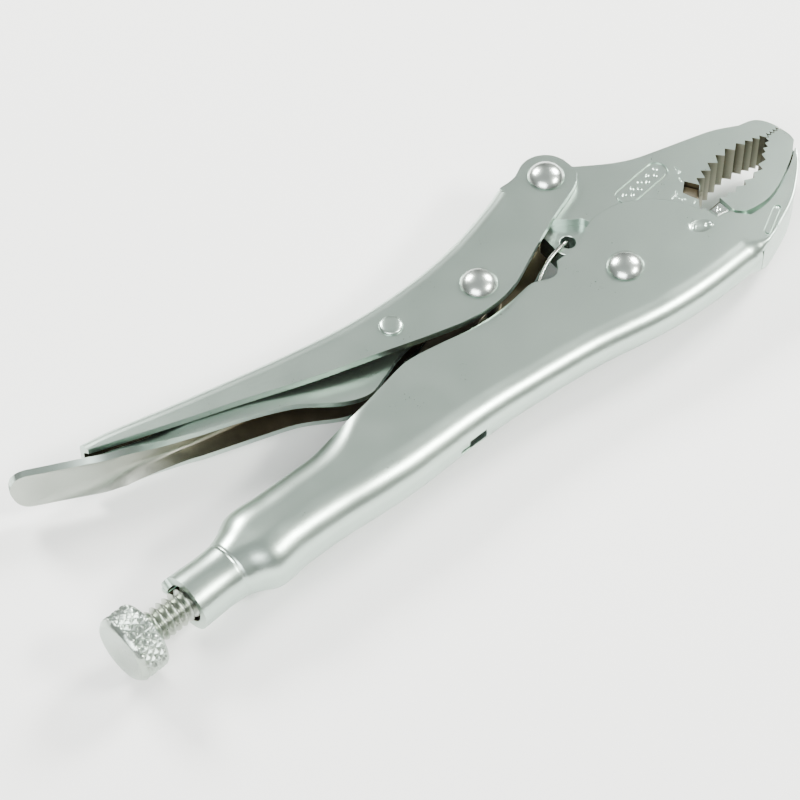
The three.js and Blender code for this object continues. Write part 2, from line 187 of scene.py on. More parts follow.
def wrappedPiece(name, rings):  # rings closed round an axis, with both ends filled
    obj = gridPiece(name, [ring + ring[:1] for ring in rings])
    activate(obj)
    bpy.ops.object.mode_set(mode="EDIT")
    bpy.ops.mesh.select_all(action="SELECT")
    bpy.ops.mesh.remove_doubles(threshold=seamGap)
    bpy.ops.mesh.fill_holes(sides=0)
    bpy.ops.mesh.normals_make_consistent(inside=False)
    bpy.ops.object.mode_set(mode="OBJECT")
    return obj


def plate(name, outline, low, high):    # an outline with thickness
    clearSelection()
    bpy.ops.mesh.primitive_circle_add(vertices=len(outline), radius=1, fill_type="NGON", location=(0, 0, 0))
    obj = bpy.context.active_object
    obj.name = name
    for vertex, (x, y) in zip(obj.data.vertices, outline):
        vertex.co = place(x, y, low)
    bpy.ops.object.mode_set(mode="EDIT")
    bpy.ops.mesh.select_all(action="SELECT")
    bpy.ops.mesh.extrude_region_move(TRANSFORM_OT_translate={"value": (0, 0, (high - low) * mm)})
    bpy.ops.mesh.select_all(action="SELECT")
    bpy.ops.mesh.normals_make_consistent(inside=False)
    bpy.ops.object.mode_set(mode="OBJECT")
    return obj


def softenEdges(obj, width, segments=3, crisp=lambda edge: False):    # rounds the edges of both broad faces
    broad, bend = 0.99, math.radians(40)
    activate(obj)
    bpy.ops.object.mode_set(mode="EDIT")
    choose(obj, "EDGE", lambda e: len(e.link_faces) == 2 and not crisp(e)
           and sum(abs(f.normal.z) > broad for f in e.link_faces) == 1 and e.calc_face_angle(0) > bend)
    bpy.ops.mesh.bevel(offset=width * mm, segments=segments, affect="EDGES", clamp_overlap=True)
    bpy.ops.object.mode_set(mode="OBJECT")


def combine(obj, other, operation="DIFFERENCE", overlapping=False):
    modifier = obj.modifiers.new("combine", "BOOLEAN")
    modifier.operation = operation
    modifier.solver = "EXACT"
    modifier.use_self = overlapping         # needed only where the cutting shapes cross each other
    modifier.object = other
    applyModifiers(obj)
    bpy.data.objects.remove(other, do_unlink=True)
    return obj


def block(low, high):           # a box between two corners
    clearSelection()
    bpy.ops.mesh.primitive_cube_add(size=1, location=(0, 0, 0))
    obj = bpy.context.active_object
    for vertex in obj.data.vertices:
        vertex.co = place(*(h if c > 0 else l for c, l, h in zip(vertex.co, low, high)))
    return obj


def disc(centre, radius, low, high):
    segments = 48
    return plate("disc", arc(centre, radius, 0, 360 - 360 / segments, segments - 1), low, high)


def hole(obj, centre, radius):
    return combine(obj, disc(centre, radius, -beyond, beyond))


def turned(name, centre, profile, axis="z", segments=64):
    # a circle drawn out step by step; the profile is (radius, distance along the axis)
    start = profile[0]
    clearSelection()
    bpy.ops.mesh.primitive_circle_add(vertices=segments, radius=start[0] * mm, fill_type="NGON",
                                      location=(0, 0, 0))
    obj = bpy.context.active_object
    obj.name = name
    for vertex in obj.data.vertices:
        vertex.co.z = start[1] * mm
    bpy.ops.object.mode_set(mode="EDIT")
    bpy.ops.mesh.select_all(action="SELECT")
    for before, after in zip(profile, profile[1:]):
        rise = (after[1] - before[1]) * mm
        bpy.ops.mesh.extrude_region_move(TRANSFORM_OT_translate={"value": (0, 0, rise)})
        size = after[0] / before[0]
        bpy.ops.transform.resize(value=(size, size, 1), center_override=(0, 0, after[1] * mm))
    bpy.ops.mesh.select_all(action="SELECT")
    bpy.ops.mesh.normals_make_consistent(inside=False)
    bpy.ops.object.mode_set(mode="OBJECT")
    turn = Matrix.Rotation(math.radians(90), 4, "Y") if axis == "x" else Matrix.Identity(4)
    obj.data.transform(Matrix.Translation(place(*centre)) @ turn)
    return obj


def stadium(start, end, radius):        # a slot with round ends
    steps = 14
    turn = math.degrees(math.atan2(end[1] - start[1], end[0] - start[0]))
    return arc(end, radius, turn - 90, turn + 90, steps) + arc(start, radius, turn + 90, turn + 270, steps)


def ringGroove(start, end, radius, width, low, high):
    ring = plate("ring", stadium(start, end, radius), low, high)
    return combine(ring, plate("ring", stadium(start, end, radius - width), low - 1, high + 1))


def ellipsoid(x, y, z, sizes, degrees=0.0):
    segments = 40 if sizes[0] > 2 else 16       # a large dent shows its facets sooner
    clearSelection()
    bpy.ops.mesh.primitive_uv_sphere_add(segments=segments, ring_count=segments // 2, radius=1,
                                         location=(0, 0, 0))
    obj = bpy.context.active_object
    obj.data.transform(Matrix.Translation(place(x, y, z)) @ Matrix.Rotation(math.radians(degrees), 4, "Z")
                       @ Matrix.Diagonal((*(size * mm for size in sizes), 1)))
    return obj


def joined(objects):
    activate(objects[0])
    for obj in objects:
        obj.select_set(True)
    if len(objects) > 1:
        bpy.ops.object.join()
    return objects[0]


def markWearAndPaintedLight(obj, amount):      # stores for the materials that read it how much lighter colour each point takes: wear on the teeth's tips, painted light where the lever's channel opens into its paddle
    wearAndLight = obj.data.attributes.new("open", "FLOAT", "POINT")
    for vertex, value in zip(obj.data.vertices, wearAndLight.data):
        x, y, _ = (vertex.co - pivot) / mm
        value.value = amount(x, y)


def finishPiece(obj, node, body, materials=None, angle=35):
    if materials:
        obj.data.materials.clear()
        for material in materials:
            obj.data.materials.append(material)
    activate(obj)
    bpy.ops.object.shade_smooth_by_angle(angle=math.radians(angle))
    modifier = obj.modifiers.new("normals", "WEIGHTED_NORMAL")
    modifier.mode = "FACE_AREA"
    modifier.keep_sharp = True
    applyModifiers(obj)
    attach(obj, body)
    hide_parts(node)
    print("made", obj.name)


# ---- finishes, among them painted shade and painted light ----
platingLook = {
    "grain": (3.0, 0.62),           # detail and roughness of the noise
    "pits": (1050.0, 2.0, 0.5),     # scale, detail and roughness
    "cloud": (34.0, 3.0, 0.55),
    "haze": (130.0, 2.0, 0.5),
    "stainRange": (0.42, 0.72),
    "wearRange": (0.3, 0.7),
    "grainWear": 0.65,
    "hazeWear": 0.35,
    "pitHeight": 0.35,
    "bumpDistance": 0.00005,
}


def newGroup(name, inputs, outputs):
    group = bpy.data.node_groups.new(name, "ShaderNodeTree")
    for direction, sockets in (("INPUT", inputs), ("OUTPUT", outputs)):
        for socket, kind in sockets:
            group.interface.new_socket(socket, in_out=direction, socket_type="NodeSocket" + kind)
    return group, group.nodes.new("NodeGroupInput"), group.nodes.new("NodeGroupOutput")


def feed(links, socket, value):         # links a socket to another one, or sets its value
    if isinstance(value, bpy.types.NodeSocket):
        links.new(value, socket)
    else:
        socket.default_value = value


def noise(nodes, links, vector, scale, detail, roughness):
    node = nodes.new("ShaderNodeTexNoise")
    for socket, value in (("Vector", vector), ("Scale", scale), ("Detail", detail), ("Roughness", roughness)):
        feed(links, node.inputs[socket], value)
    return node.outputs["Fac"]


def spread(nodes, links, value, low, high, toLow, toHigh):
    node = nodes.new("ShaderNodeMapRange")
    for socket, amount in (("Value", value), ("From Min", low), ("From Max", high),
                           ("To Min", toLow), ("To Max", toHigh)):
        feed(links, node.inputs[socket], amount)
    return node.outputs["Result"]


def calculate(nodes, links, operation, *values):
    node = nodes.new("ShaderNodeMath")
    node.operation = operation
    for socket, value in zip(node.inputs, values):
        feed(links, socket, value)
    return node.outputs[0]


def mixColor(nodes, links, factor, first, second):
    node = nodes.new("ShaderNodeMix")
    node.data_type = "RGBA"
    sockets = [node.inputs[0]] + [s for s in node.inputs if s.type == "RGBA"]
    for socket, value in zip(sockets, (factor, first, second)):
        feed(links, socket, value)
    return next(s for s in node.outputs if s.type == "RGBA")


def platingGroup():
    p = platingLook
    group, given, out = newGroup("plating", [
        ("Color", "Color"), ("Stain", "Color"), ("StainAmount", "Float"), ("GrainScale", "Float"),
        ("RoughLow", "Float"), ("RoughHigh", "Float"),
    ], [("Color", "Color"), ("Roughness", "Float"), ("Height", "Float")])
    nodes, links = group.nodes, group.links
    where = nodes.new("ShaderNodeTexCoord").outputs["Object"]
    grain = noise(nodes, links, where, given.outputs["GrainScale"], *p["grain"])
    pits = noise(nodes, links, where, *p["pits"])
    cloud = noise(nodes, links, where, *p["cloud"])
    haze = noise(nodes, links, where, *p["haze"])
    stained = spread(nodes, links, cloud, *p["stainRange"], 0.0, 1.0)
    stain = calculate(nodes, links, "MULTIPLY", stained, given.outputs["StainAmount"])
    color = mixColor(nodes, links, stain, given.outputs["Color"], given.outputs["Stain"])
    worn = calculate(nodes, links, "ADD", spread(nodes, links, grain, *p["wearRange"], 0.0, p["grainWear"]),
                     spread(nodes, links, haze, *p["wearRange"], 0.0, p["hazeWear"]))
    rough = spread(nodes, links, worn, 0.0, 1.0, given.outputs["RoughLow"], given.outputs["RoughHigh"])
    height = calculate(nodes, links, "MULTIPLY_ADD", pits, p["pitHeight"], grain)
    for socket, value in (("Color", color), ("Roughness", rough), ("Height", height)):
        links.new(value, out.inputs[socket])
    return group


plating = platingGroup()


def platedMetal(name, color, stain, stainAmount, grainScale, rough, bump, wearAndLightColor=None):
    material = bpy.data.materials.new(name)
    material.use_nodes = True
    nodes, links = material.node_tree.nodes, material.node_tree.links
    shader = nodes["Principled BSDF"]
    shader.inputs["Metallic"].default_value = 1.0
    finish = nodes.new("ShaderNodeGroup")
    finish.node_tree = plating
    for socket, value in (("Color", (*color, 1)), ("Stain", (*stain, 1)), ("StainAmount", stainAmount),
                          ("GrainScale", grainScale), ("RoughLow", rough[0]), ("RoughHigh", rough[1])):
        finish.inputs[socket].default_value = value
    bumpNode = nodes.new("ShaderNodeBump")
    bumpNode.inputs["Strength"].default_value = bump
    bumpNode.inputs["Distance"].default_value = platingLook["bumpDistance"]
    links.new(finish.outputs["Height"], bumpNode.inputs["Height"])
    links.new(bumpNode.outputs["Normal"], shader.inputs["Normal"])
    color = finish.outputs["Color"]
    if wearAndLightColor:               # the piece's own attribute mixes in the lighter colour: wear on the teeth's tips, painted light where the lever opens into its paddle
        wearAndLight = nodes.new("ShaderNodeAttribute")
        wearAndLight.attribute_name = "open"
        color = mixColor(nodes, links, wearAndLight.outputs["Fac"], color, (*wearAndLightColor, 1))
    links.new(color, shader.inputs["Base Color"])
    links.new(finish.outputs["Roughness"], shader.inputs["Roughness"])
    return material


satinNickel = platedMetal("satinNickel", (0.475, 0.575, 0.52), stain=(0.45, 0.54, 0.485), stainAmount=0.3,
                          grainScale=1500.0, rough=(0.27, 0.33), bump=0.13)
# painted shade: the inner faces of the pressed channels get a dark brown base colour that stands in for the
# shade inside the channels
paintedShadeInside = platedMetal("paintedShadeInside", (0.24, 0.215, 0.155), stain=(0.12, 0.10, 0.06), stainAmount=0.8,
                           grainScale=1400.0, rough=(0.28, 0.46), bump=0.5, wearAndLightColor=(0.42, 0.455, 0.41))
# painted light: a lighter base colour than the frame's nickel, so the rivet domes and the fixed cutter's
# block look brighter
paintedLightNickel = platedMetal("paintedLightNickel", (0.66, 0.72, 0.68), stain=(0.60, 0.66, 0.61), stainAmount=0.2,
                         grainScale=2200.0, rough=(0.22, 0.27), bump=0.06)
knobNickel = platedMetal("knobNickel", (0.46, 0.53, 0.48), stain=(0.26, 0.29, 0.24), stainAmount=0.5,
                         grainScale=1900.0, rough=(0.24, 0.36), bump=0.2)
threadSteel = platedMetal("threadSteel", (0.40, 0.44, 0.39), stain=(0.18, 0.18, 0.13), stainAmount=0.6,
                          grainScale=2000.0, rough=(0.24, 0.36), bump=0.2)
# painted shade: a dark brown base colour for the shade in the fine teeth's gaps, in the cutter's pocket and
# on the toggle link inside the handle
paintedShadeSteel = platedMetal("paintedShadeSteel", (0.24, 0.225, 0.175), stain=(0.12, 0.10, 0.06), stainAmount=0.6,
                        grainScale=1600.0, rough=(0.28, 0.44), bump=0.4)
# painted shade: the walls between the teeth get a near-black base colour for the shade in the valleys; its
# lighter colour on the tips is wear
toothWallShade = platedMetal("toothWallShade", (0.13, 0.115, 0.08), stain=(0.08, 0.07, 0.045), stainAmount=0.5,
                         grainScale=1500.0, rough=(0.26, 0.4), bump=0.2, wearAndLightColor=(0.60, 0.575, 0.48))
springSteel = platedMetal("springSteel", (0.56, 0.58, 0.55), stain=(0.36, 0.34, 0.28), stainAmount=0.4,
                          grainScale=2300.0, rough=(0.18, 0.28), bump=0.1)
print("finishes ready")

# ---- fixed handle: pressed channel that closes to a tube behind and opens round the jaws ----
fixedHandle = {
    "sheet": 2.4,
    "webHalf": 3.95,
    "spineFront": 32.5,
    "spineStep": 0.7,
    "neckRadius": 8.0,
    "keys": [       # x, spine, rim, half width, corner, curl
        (-156.8, -5.3, 10.7, 8, 8, 87), (-143, -5.3, 10.7, 8, 8, 87), (-139.5, -6.2, 11.6, 8.4, 8.4, 87),
        (-134, -8.9, 14.2, 9.4, 9.4, 87), (-124, -8.6, 13.9, 9.4, 9.4, 87), (-110, -9.2, 13.4, 9, 9, 84),
        (-99, -10.4, 12.5, 8.8, 8.8, 52), (-88, -11.2, 12.9, 8.4, 8.4, 14), (-78, -11.3, 14.6, 8, 8, 9),
        (-67, -11.3, 16.4, 7.6, 7.6, 8), (-56, -11.7, 14.9, 7.2, 7.2, 8), (-46, -12.6, 12.9, 6.9, 6.9, 8),
        (-36, -13.7, 12.2, 6.7, 6.7, 8), (-24, -15.3, 13.3, 6.5, 6.5, 8), (-12.6, -17.7, 14.2, 6.4, 6.4, 8),
        (-8, -18.7, 32, 6.35, 6.35, 8), (2, -20.4, 32, 6.35, 6.35, 8), (14, -21.4, 32, 6.35, 6.35, 8),
        (34.5, -21.6, 32, 6.35, 6.35, 8), (69.3, -21.6, 32, 6.35, 6.35, 8)],
    "spacing": [    # from, to, step of the stations
        (-156.8, -143.4, 1.1), (-143.4, -141.4, 0.25), (-141.4, -132, 0.7), (-132, -12.4, 1.5),
        (-12.4, 22, 1.0), (22, 30.9, 0.4), (31.8, 35.6, 0.9), (36.3, 65.8, 0.8)],
    "exactStations": [30.9, 31.0, 35.6, 35.9, 65.8],
    "webRows": 7,
    "cheekRows": 46,
    "edge": 0.2,
    "noseCorner": 0.35,
    "noseBlend": (29.0, 37.5),
    "creaseAt": -142.4,
    "creaseDepth": 0.28,
    "creaseWidth": 0.45,
    "seamLobe": 1.3,
    "seamFrom": 0.86,
    "springSlot": ((-73.0, -20, -1.5), (-63.8, -7.9, 1.5)),
    "springTab": ((-73.3, -10.6, -1.1), (-69.2, -9.4, 1.1)),
    "dentLift": 0.15,
    "dents": [[(25.6, -4.3, (3.6, 2.3, 0.5), -28), (40.5, -19.0, (1.1, 0.5, 0.7), 40)],
              [(27.4, -5.2, (1.5, 1.0, 0.75), -25), (23.9, -3.2, (1.4, 0.9, 0.65), 30)],
              [(45.9, -14.1, (0.9, 0.6, 0.45), 60)]],
    "weldSlot": ((45.6, -14.4), (37.6, -18.2), 1.2, 0.45),      # ends, radius, line width
    "weldDepth": 0.5,
}
mouthBack = (29.6, 0.0)
windEnd = 18.2
windAngle = 77
shoulderGap = [(38.6, -11.0), (45.2, -11.3), (51, -10.0), (57.2, -7.4), (62, -5.0), (65.8, -2.6)]
frontEdge = [(68.5, 3.0), (67.9, -0.4), (65.9, -3.4), (62.7, -6.9), (58, -10.6), (51.2, -15.0), (43.2, -18.3),
             (37.1, -20.4)]


def windLine(offset):           # the throat winds inwards from the back of the mouth
    steps = 24
    return [polar((0, 0), mouthBack[0] + (windEnd - mouthBack[0]) * i / steps + offset, windAngle * i / steps)
            for i in range(steps + 1)]


def channelHalf(spine, rim, halfWidth, corner, curl, trim=None):
    # half of the outer profile as (across, height, run), from the middle of the spine to the rim
    flatSteps, bendSteps, wallSteps = 8, 40, 12
    up = 1 if rim > spine else -1
    turn = math.radians(curl)
    straightEnd = abs(rim - spine) - halfWidth * math.sin(turn)
    if trim is not None:
        straightEnd, turn = abs(trim - spine), 0.0
    points = [(0.0, 0.0)]
    points += [((halfWidth - corner) * i / flatSteps, 0.0) for i in range(1, flatSteps + 1)
               if halfWidth > corner]
    points += [(halfWidth - corner + corner * math.sin(a), corner - corner * math.cos(a))
               for a in (math.pi / 2 * i / bendSteps for i in range(1, bendSteps + 1))]
    points += [(halfWidth, corner + (straightEnd - corner) * i / wallSteps) for i in range(1, wallSteps + 1)
               if straightEnd > corner + 0.01]
    if turn:
        points += [(halfWidth * math.cos(a), straightEnd + halfWidth * math.sin(a))
                   for a in (turn * i / bendSteps for i in range(1, bendSteps + 1))]
    if trim is not None and straightEnd <= corner:
        points = [p for p in points if p[1] < straightEnd] or points[:2]
    run, profile = 0.0, [(points[0][0], spine, 0.0)]
    for (z0, h0), (z1, h1) in zip(points, points[1:]):
        run += math.hypot(z1 - z0, h1 - h0)
        profile.append((z1, spine + up * h1, run))
    return profile


def alongProfile(profile, start, end, count):   # evenly spread points between two runs
    found, k = [], 0
    for i in range(count):
        run = start + (end - start) * i / (count - 1)
        while k < len(profile) - 2 and profile[k + 1][2] < run:
            k += 1
        (z0, y0, r0), (z1, y1, r1) = profile[k], profile[k + 1]
        t = min(max((run - r0) / max(r1 - r0, 1e-9), 0.0), 1.0)
        found.append((z0 + (z1 - z0) * t, y0 + (y1 - y0) * t))
    return found


def sheetPiece(name, stations, removed, flip):
    # stations are (x, half profile); a half profile holds (across, height) or (across, height, x)
    rows = []
    for x, half in stations:
        points = [(p[2] if len(p) > 2 else x, p[1], -p[0]) for p in reversed(half[1:])]
        points += [(p[2] if len(p) > 2 else x, p[1], p[0]) for p in half]
        rows.append([place(*point) for point in points])
    obj = gridPiece(name, rows)
    across = len(rows[0]) - 1
    activate(obj)
    bpy.ops.object.mode_set(mode="EDIT")
    if flip:
        bpy.ops.mesh.select_all(action="SELECT")
        bpy.ops.mesh.flip_normals()
    choose(obj, "FACE", lambda face: removed(face.index // across, face.index % across))
    bpy.ops.mesh.delete(type="FACE")
    bpy.ops.object.mode_set(mode="OBJECT")
    return obj


def thickenSheet(obj, sheet, edge, materials):
    obj.data.materials.clear()
    for material in materials:
        obj.data.materials.append(material)
    wall = obj.modifiers.new("wall", "SOLIDIFY")
    wall.thickness = sheet * mm
    wall.offset = -1
    wall.use_even_offset = True
    wall.use_quality_normals = True
    # the inner faces made by the wall take the second material, the painted shade inside the channels
    wall.material_offset = 1
    soft = obj.modifiers.new("soft", "BEVEL")
    soft.width = edge * mm
    soft.segments = 3
    soft.limit_method = "ANGLE"
    soft.angle_limit = math.radians(45)
    applyModifiers(obj)


frameRimLine = ([(-12.4, 14.1), (-6.5, 13.9), (-2.5, 14.8), (1.2, 16.7)] + windLine(0)[::-1]
                + [(30.9, -0.6), (31.0, -5.2), (35.6, -6.1), (35.9, -7.6)] + smoothThrough(shoulderGap, 24))
frontLine = [(32.0, -21.5)] + sorted(smoothThrough(frontEdge[2:], 24))


def makeFixedHandle():
    f = fixedHandle
    spineEnds = [f["spineFront"], f["spineFront"] + f["spineStep"]]
    xs = [x for part in f["spacing"] for x in evenly(*part)] + f["exactStations"]
    xs = sorted([x for x in xs if abs(x - f["spineFront"] - 0.3) > 0.5] + spineEnds)
    webRun = jawHalf * math.asin(f["webHalf"] / jawHalf)
    stations = []
    for x in xs:
        spine, rim, half, corner, curl = keyedRow(f["keys"], x)
        blendStart, blendEnd = f["noseBlend"]
        nose = min(max((x - blendStart) / (blendEnd - blendStart), 0.0), 1.0)
        corner += (f["noseCorner"] - corner) * nose * nose * (3 - 2 * nose)
        if x > f["spineFront"]:
            spine, half = heightAt(frontLine, x), jawHalf
            corner = min(corner, (heightAt(frameRimLine, x) - spine) * 0.6)
        trim = heightAt(frameRimLine, x) if x >= frameRimLine[0][0] else None
        profile = channelHalf(spine, rim, half, corner, curl, trim)
        start = f["webHalf"] if x > f["spineFront"] else webRun
        web = alongProfile(profile, 0, start, f["webRows"])
        row = web[:-1] + alongProfile(profile, start, profile[-1][2], f["cheekRows"])
        crease = f["creaseDepth"] * math.exp(-((x - f["creaseAt"]) / f["creaseWidth"]) ** 2)
        pinch = 1 - crease / f["neckRadius"]     # the line where the neck meets the shoulder
        row = [(z * pinch, screwAxisY + (y - screwAxisY) * pinch) for z, y in row]
        if x < f["keys"][0][0] + 2:              # the two ends of the rolled sheet stand out past the neck
            past = f["seamLobe"] * (1 if x == xs[0] else 0.4)
            reach = [max(0.0, (i / (len(row) - 1) - f["seamFrom"]) / (1 - f["seamFrom"]))
                     for i in range(len(row))]
            row = [(z, y, x - past * math.sin(math.pi / 2 * min(1, r * 1.6)))
                   for (z, y), r in zip(row, reach)]
        stations.append((x, row))
    firstFront = xs.index(f["spineFront"])
    middle = f["webRows"] + f["cheekRows"] - 2
    obj = sheetPiece("fixed_handle_shell", stations, lambda station, column: station >= firstFront
                     and abs(column + 0.5 - middle) < f["webRows"] - 1, True)
    thickenSheet(obj, f["sheet"], f["edge"], (satinNickel, paintedShadeInside))
    combine(obj, block(*f["springSlot"]))
    combine(obj, block(*f["springTab"]), "UNION")
    for group in f["dents"]:
        combine(obj, joined([ellipsoid(x, y, side * (jawHalf + f["dentLift"]), sizes, turn)
                             for side in (1, -1) for x, y, sizes, turn in group]))
    combine(obj, joined([ringGroove(*f["weldSlot"], *sorted((side * (jawHalf - f["weldDepth"]), side * 9)))
                         for side in (1, -1)]))
    finishPiece(obj, "fixed_handle", "frame")


makeFixedHandle()

# ---- movable handle: pressed channel whose two ears hold the movable jaw ----
movableHandle = {
    "sheet": 2.2,
    "webFront": -7.0,
    "keys": [
        (-147.6, 55.2, 51.4, 8.85, 3.2, 3), (-140, 54.0, 48.4, 8.85, 3.6, 3), (-124, 49.9, 42.2, 8.85, 4, 3),
        (-106, 45.3, 35.5, 8.85, 4, 3), (-88, 41.0, 28.5, 8.85, 4, 3), (-70, 37.6, 22.5, 8.85, 4, 3),
        (-56, 36.4, 17.7, 8.85, 4, 3), (-45, 36.3, 14.6, 8.85, 4, 3), (-36, 36.9, 13.8, 8.85, 4, 3),
        (-28, 38.0, 14.9, 8.85, 4, 3), (-18, 40.2, 18.8, 8.85, 4, 3), (-7, 43.4, 23.2, 8.85, 4, 3),
        (4, 49, 26.8, 8.85, 4, 3), (16, 52, 30, 8.85, 4, 3)],
    "earRadius": 7.9,
    "earTop": [(-7.0, 42.2), (-3, 42.0), (-0.6, 42.3)],
    "earBottom": [(-7, 23.2), (-1.5, 25.2), (4, 26.9), (8, 28.2), (11.0, 29.6), (12.6, 31.2), (13.3, 33.2),
                  (13.5, 35)],
    "spacing": 1.5,
    "earSpacing": 0.9,
    "webRows": 16,
    "cheekRows": 26,
    "edge": 0.4,
}


def makeMovableHandle():
    h = movableHandle
    back, webFront = h["keys"][0][0], h["webFront"]
    top = h["earTop"] + arc(handlePin, h["earRadius"], 120, 8, 24)
    bottom = h["earBottom"]
    endAt = [handlePin[0] + h["earRadius"] * math.sin(math.radians(a)) for a in range(36, 89, 4)]
    xs = (evenly(back, webFront, h["spacing"]) + [webFront, webFront + 0.1]
          + evenly(webFront + 0.8, endAt[0], h["earSpacing"]) + endAt)
    stations = []
    for x in xs:
        spine, rim, half, corner, curl = keyedRow(h["keys"], x)
        profile = channelHalf(spine, rim, half, corner, curl, heightAt(bottom, x) if x > 0 else None)
        bendEnd = half - corner + corner * math.pi / 2
        row = alongProfile(profile, 0, bendEnd, h["webRows"])[:-1]
        if x > webFront:
            high, low = heightAt(top, x), heightAt(bottom, x)
            row += [(half, high + (low - high) * i / (h["cheekRows"] - 1)) for i in range(h["cheekRows"])]
        else:
            row += alongProfile(profile, bendEnd, profile[-1][2], h["cheekRows"])
        stations.append((x, row))
    firstEar = xs.index(webFront)
    middle = h["webRows"] + h["cheekRows"] - 2
    obj = sheetPiece("movable_handle_shell", stations, lambda station, column: station >= firstEar
                     and abs(column + 0.5 - middle) < h["webRows"] - 1, False)
    thickenSheet(obj, h["sheet"], h["edge"], (satinNickel, paintedShadeInside))
    finishPiece(obj, "movable_handle", "handle")


makeMovableHandle()

# ---- release lever: narrow channel that flattens into a dished thumb paddle ----
releaseLever = {
    "sheet": 1.8,
    "keys": [
        (-141.5, 50.2, 46.2, 6.3, 2.6, 3), (-130, 46.5, 40.6, 6.3, 2.8, 3), (-118, 43.4, 36.0, 6.3, 2.8, 3),
        (-106, 40.3, 31.4, 6.0, 2.8, 3), (-96, 38, 26.8, 5.2, 2.8, 3), (-86, 35.9, 19.6, 4.2, 2.8, 3),
        (-79, 34.6, 17.3, 3.7, 2.8, 3), (-72, 33.4, 19.2, 3.5, 2.8, 3), (-64, 32.2, 21.6, 3.5, 2.8, 3),
        (-56, 30.9, 22.6, 3.5, 2.8, 3), (-52, 30.2, 23.4, 3.5, 2.8, 3)],
    "paddleTop": [(-118, 43.4), (-122, 44.45), (-126, 45.45), (-130, 46.5), (-135, 48.1), (-141.5, 50.2),
                  (-146, 51.4), (-154, 55.0), (-161.5, 58.7), (-167.0, 61.6)],
    "paddleHalf": [(-167.0, 7.3), (-158.0, 7.6), (-148.0, 8.1), (-139.0, 8.2)],
    "flatFrom": -122.0,
    "flatTo": -141.0,
    "paddleEnd": -167.0,
    "paddleSpacing": 0.9,
    "leverFrom": -139.0,
    "leverSpacing": 1.5,
    "roundLength": 4.6,
    "roundPower": 2.4,
    "wall": [(-167.0, 0.8), (-162.0, 1.1), (-156.0, 1.6), (-149.0, 2.5), (-141.5, 4.0), (-130.0, 5.9),
             (-118, 7.4)],
    "paintedLightFrom": -104.0,
    "paintedLightTo": -152.0,
    "rows": 34,
    "edge": 0.35,
}


def makeReleaseLever():
    r = releaseLever
    topLine = sorted(smoothThrough(r["paddleTop"], 30))
    back, front = r["keys"][0][0], r["keys"][-1][0]
    roundFrom = r["paddleEnd"] + r["roundLength"]
    ends = [r["paddleEnd"] + r["roundLength"] * (1 - math.sin(math.radians(a))) for a in range(88, 0, -6)]
    xs = (ends + evenly(roundFrom, r["leverFrom"], r["paddleSpacing"])
          + evenly(r["leverFrom"], front, r["leverSpacing"]) + [front])
    stations = []
    for x in xs:
        spine, rim, half, corner, curl = keyedRow(r["keys"], max(x, back))
        profile = channelHalf(spine, rim, half, corner, curl)
        row = alongProfile(profile, 0, profile[-1][2], r["rows"])
        flat = min(max((r["flatFrom"] - x) / (r["flatFrom"] - r["flatTo"]), 0.0), 1.0)
        if flat > 0:
            paddleHalf = heightAt(r["paddleHalf"], x)
            wide = half + (paddleHalf - half) * flat
            toEnd = (x - r["paddleEnd"]) / r["roundLength"]
            if toEnd < 1:
                wide *= max(0.0, 1 - (1 - toEnd) ** r["roundPower"]) ** 0.5 * 0.9 + 0.1
            top = heightAt(topLine, x)
            lift = top - spine
            dished = [(wide * t, top - heightAt(r["wall"], x) * min(1.0, wide / paddleHalf) ** 2 * t ** 3)
                      for t in (i / (r["rows"] - 1) for i in range(r["rows"]))]
            row = [(z0 + (z1 - z0) * flat, y0 + lift + (y1 - y0 - lift) * flat)
                   for (z0, y0), (z1, y1) in zip(row, dished)]
        stations.append((x, row))
    obj = sheetPiece("release_lever_shell", stations, lambda station, column: False, False)
    thickenSheet(obj, r["sheet"], r["edge"], (satinNickel, paintedShadeInside))
    finishPiece(obj, "release_lever", "release")
    # painted light: the painted shade inside the lever fades to a lighter colour towards the open paddle
    markWearAndPaintedLight(obj, lambda x, y: min(max((r["paintedLightFrom"] - x) / (r["paintedLightFrom"] - r["paintedLightTo"]), 0.0), 1.0))


makeReleaseLever()

# ---- teeth and cutters ----
mouth = {
    "upper": [(61.9, 7.4), (61.0, 6.4), (59.8, 8.2), (58.9, 7.1), (57.6, 8.9), (56.4, 7.8), (55.0, 9.9),
              (52.9, 8.4), (51.2, 10.7), (49.3, 8.9), (47.5, 10.9), (45.8, 8.4), (43.7, 10.4), (42.3, 7.8),
              (40.2, 9.7), (39.1, 7.0), (37.3, 8.6), (36.0, 5.9), (32.6, 3.3)],
    "lower": [(36.8, -0.8), (38.6, -2.0), (39.8, -1.1), (41.5, -2.5), (43.2, -1.2), (45.5, -2.7),
              (46.6, -1.1), (49.2, -2.5), (50.6, -0.9), (53.3, -1.9), (53.8, 0.2), (56.5, -0.1),
              (57.2, 2.1), (58.6, 1.9), (59.2, 3.4), (60.6, 2.8), (61.0, 4.4), (62.4, 4.0)],
    "fine": [(62.6, 5.6), (63.3, 5.0), (63.9, 5.8), (64.5, 5.1), (65.1, 5.7), (65.7, 5.0), (66.3, 5.6),
             (66.9, 4.9), (67.4, 5.5), (67.9, 4.9), (68.3, 5.4)],
    "fineDepth": 0.55,
    "fineUntil": 10,            # every second point of the upper row before this one is cut deeper
    "fineFrom": 62.2,
    "gap": 0.35,
    "pocket": [(34.0, 10.1), (36.1, 6.3), (32.1, 2.6), (31.2, 5.2), (30.6, 7.5)],
    "block": [(36.6, -1.0), (36.6, -5.2), (35.4, -5.9), (31.4, -4.9), (31.9, -1.2)],
    # where edges stay crisp and where walls are teeth: x range, y range, start of the nose, y range there
    "crispZone": ((31.5, 68.4), (-3.2, 11.2), 66.9, (4.6, 6.0)),
    "wallZone": ((31.8, 68.3), (-3.4, 11.2), 67.0, (4.4, 6.0)),
}

